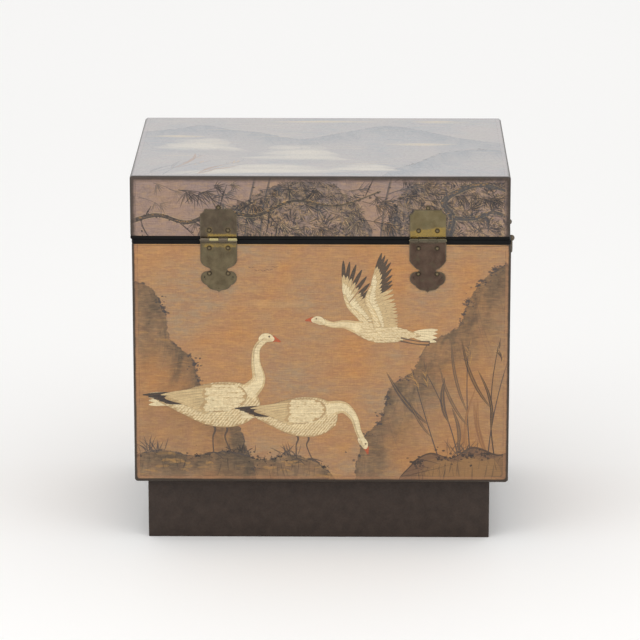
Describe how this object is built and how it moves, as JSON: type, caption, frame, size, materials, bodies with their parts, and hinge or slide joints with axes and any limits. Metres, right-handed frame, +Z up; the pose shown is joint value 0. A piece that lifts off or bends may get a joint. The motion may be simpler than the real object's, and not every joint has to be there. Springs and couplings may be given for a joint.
{
  "type": "decorative chest",
  "caption": "Box-shaped decorative chest with a hinged lid, brass hinges, side bail handles and a recessed plinth, covered with a painted silk-like landscape.",
  "frame": {"origin": "on the ground, under the centre of the whole object's box", "axes": "+X along the width, +Y away from the face that carries the hinges, +Z up"},
  "size_m": [0.6348, 0.4654, 0.614],
  "materials": {
    "picture_body": "painted silk-like paper under satin lacquer",
    "picture_lid": "painted silk-like paper under satin lacquer",
    "black_lacquer": "black semi-gloss lacquer",
    "plinth_paint": "dark brown satin paint",
    "hinge_brass": "aged sheet brass, worn bright at the knuckles",
    "nail_brass": "aged dome-headed nails",
    "handle_brass": "dark aged brass"
  },
  "bodies": {
    "chest": {"plinth": "plinth_paint", "chest_body": "picture_body", "body_rim": "black_lacquer", "hinge_left_body_leaf": "hinge_brass", "hinge_left_pin": "hinge_brass", "hinge_left_nail_body_left": "nail_brass", "hinge_left_nail_body_right": "nail_brass", "hinge_left_nail_foot_left": "nail_brass", "hinge_left_nail_foot_right": "nail_brass", "hinge_right_body_leaf": "hinge_brass", "hinge_right_pin": "hinge_brass", "hinge_right_nail_body_left": "nail_brass", "hinge_right_nail_body_right": "nail_brass", "hinge_right_nail_foot_left": "nail_brass", "hinge_right_nail_foot_right": "nail_brass", "handle_left_post_front": "handle_brass", "handle_left_post_back": "handle_brass", "handle_left_rosette_front": "handle_brass", "handle_left_rosette_back": "handle_brass", "handle_right_post_front": "handle_brass", "handle_right_post_back": "handle_brass", "handle_right_rosette_front": "handle_brass", "handle_right_rosette_back": "handle_brass"},
    "lid": {"lid": "picture_lid", "lid_rim": "black_lacquer", "hinge_left_lid_leaf": "hinge_brass", "hinge_left_nail_lid_left": "nail_brass", "hinge_left_nail_lid_right": "nail_brass", "hinge_left_nail_lid_tab": "nail_brass", "hinge_right_lid_leaf": "hinge_brass", "hinge_right_nail_lid_left": "nail_brass", "hinge_right_nail_lid_right": "nail_brass", "hinge_right_nail_lid_tab": "nail_brass"},
    "bail_left": {"handle_left_bail": "handle_brass"},
    "bail_right": {"handle_right_bail": "handle_brass"}
  },
  "joints": [
    {"name": "lid_hinge", "type": "hinge", "parent": "chest", "child": "lid", "pos_m": [0, -0.22871, 0.51], "axis": [1, 0, 0], "range_deg": [0, 175]},
    {"name": "left_bail_swing", "type": "hinge", "parent": "chest", "child": "bail_left", "pos_m": [-0.3122, 0.00421, 0.472], "axis": [0, 1, 0], "range_deg": [-7, 170]},
    {"name": "right_bail_swing", "type": "hinge", "parent": "chest", "child": "bail_right", "pos_m": [0.3122, 0.00421, 0.472], "axis": [0, -1, 0], "range_deg": [-7, 170]}
  ]
}
